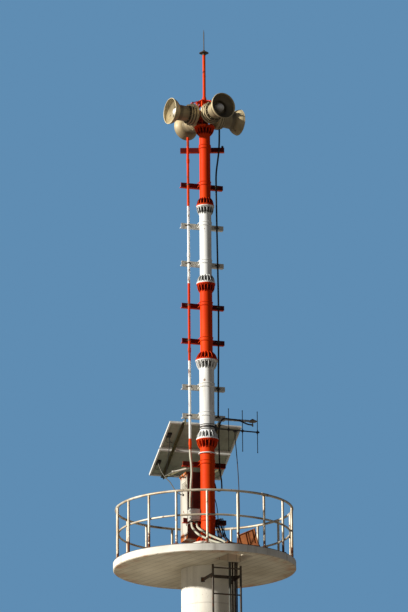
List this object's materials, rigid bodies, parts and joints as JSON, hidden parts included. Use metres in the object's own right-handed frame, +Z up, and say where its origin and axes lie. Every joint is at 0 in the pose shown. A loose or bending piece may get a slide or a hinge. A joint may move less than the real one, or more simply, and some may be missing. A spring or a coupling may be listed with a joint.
{
  "type": "civil defense siren tower",
  "caption": "Round concrete column with a ladder and a railed platform, carrying a flanged banded mast with warning horns, crossbars, a cabinet and solar panels.",
  "frame": {"origin": "centre of the column's base at ground level", "axes": "+Z up along the column and the mast, -Y towards the front, from which the tower is seen, +X to the right of that view"},
  "size_m": [2.9, 2.9598, 24.1],
  "materials": {
    "aged_concrete": "weathered painted concrete",
    "galvanised_rail": "dull, rust at the feet",
    "rusted_steel": "matt rusted",
    "ladder_steel": "dull",
    "red_paint": "satin, faded",
    "white_paint": "satin, chalky",
    "banded_conduit": "satin, banded red and white",
    "flexible_cream": "matt, ribbed",
    "dark_sheath": "matt",
    "cabinet_paint": "satin, rust streaks",
    "dark_steel": "matt",
    "panel_frame": "anodised",
    "solar_cells": "smooth, dark",
    "black_plastic": "matt",
    "bare_aluminium": "dull",
    "white_plastic": "gloss",
    "cream_paint": "satin, weathered"
  },
  "bodies": {
    "tower": {"antenna": "bare_aluminium", "bar_clamps_red": "red_paint", "bar_clamps_white": "white_paint", "cabinet": "cabinet_paint", "cabinet_uprights": "dark_steel", "column": "aged_concrete", "column_cable": "dark_sheath", "column_conduit": "flexible_cream", "crossbars_red": "red_paint", "crossbars_white": "white_paint", "feeder_cable": "dark_sheath", "flexible_conduits": "flexible_cream", "hatch_frame": "rusted_steel", "horn_bells": "cream_paint", "horn_drivers": "cream_paint", "horn_head": "red_paint", "horn_straps": "red_paint", "junction_box": "cabinet_paint", "ladder_brackets": "ladder_steel", "ladder_rungs": "ladder_steel", "ladder_stringers": "ladder_steel", "lightning_rod": "dark_steel", "mast_plinth": "aged_concrete", "mast_section_1": "red_paint", "mast_section_2": "white_paint", "mast_section_3": "red_paint", "mast_section_4": "white_paint", "mast_section_5": "red_paint", "mid_rail": "galvanised_rail", "panel_frames": "panel_frame", "panel_laminates": "solar_cells", "panel_lead": "flexible_cream", "panel_rack": "dark_steel", "panel_terminal_boxes": "black_plastic", "platform_slab": "aged_concrete", "pole_cap": "dark_steel", "rail_posts": "galvanised_rail", "riser_conduit": "banded_conduit", "sensor_arm": "bare_aluminium", "sensor_head": "white_plastic", "signal_cables": "dark_sheath", "top_pole": "red_paint", "top_rail": "galvanised_rail"},
    "hatch_leaf_right": {"hatch_leaf_right": "rusted_steel"},
    "hatch_leaf_left": {"hatch_leaf_left": "rusted_steel"}
  },
  "joints": [
    {"name": "right_leaf_hinge", "type": "hinge", "parent": "tower", "child": "hatch_leaf_right", "pos_m": [0.65631, -0.80242, 15.1683], "axis": [-0.4848, 0.8746, 0], "range_deg": [-76, 30]},
    {"name": "left_leaf_hinge", "type": "hinge", "parent": "tower", "child": "hatch_leaf_left", "pos_m": [0.1639, -1.07537, 15.1683], "axis": [0.4848, -0.8746, 0], "range_deg": [0, 95]}
  ]
}
